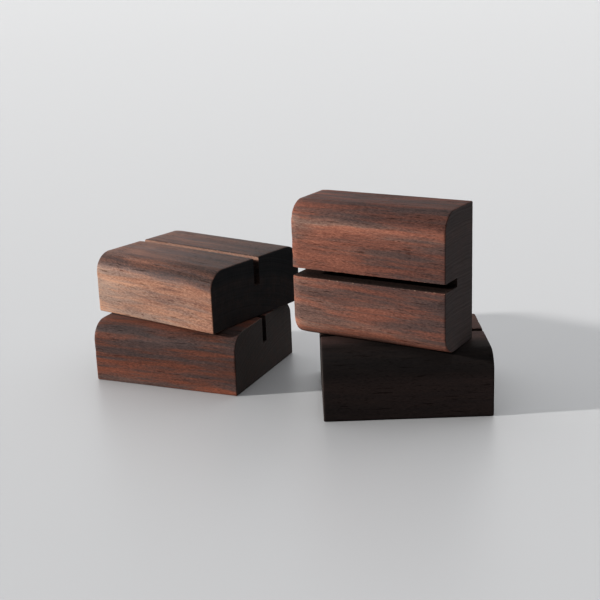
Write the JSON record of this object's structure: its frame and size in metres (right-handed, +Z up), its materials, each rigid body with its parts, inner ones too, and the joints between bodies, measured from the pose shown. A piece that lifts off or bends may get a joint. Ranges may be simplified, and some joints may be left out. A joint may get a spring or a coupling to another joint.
{
  "type": "dip pen holder",
  "caption": "Slotted hardwood rest blocks with rounded top edges, stacked in pairs; each has one straight saw cut along its top to stand a pen or card in.",
  "frame": {"origin": "centre of the set's footprint, on the surface it stands on", "axes": "+Z up; +X to the viewer's right, along the right lower block's slot; +Y to the back"},
  "size_m": [0.1968, 0.1518, 0.0985],
  "materials": {
    "left_lower_wood": "satin oiled dark reddish-brown hardwood, straight grain along the slot",
    "left_upper_wood": "satin oiled reddish-brown hardwood, the lightest of the set, straight grain along the slot",
    "right_lower_wood": "satin oiled dark brown hardwood, the darkest of the set, straight grain along the slot",
    "right_upper_wood": "satin oiled reddish-brown hardwood with nearly black streaks, straight grain along the slot"
  },
  "bodies": {
    "left_lower": {"left_lower_block": "left_lower_wood"},
    "left_upper": {"left_upper_block": "left_upper_wood"},
    "right_lower": {"right_lower_block": "right_lower_wood"},
    "right_upper": {"right_upper_block": "right_upper_wood"}
  },
  "joints": [
    {"name": "left_upper_lift", "type": "slide", "parent": "left_lower", "child": "left_upper", "axis": [0, 0, 1], "range_m": [0, 0.06]},
    {"name": "right_pair_shift", "type": "slide", "parent": "left_lower", "child": "right_lower", "axis": [1, 0, 0], "range_m": [0, 0.06]},
    {"name": "right_upper_lift", "type": "slide", "parent": "right_lower", "child": "right_upper", "axis": [0, 0, 1], "range_m": [0, 0.06]}
  ]
}
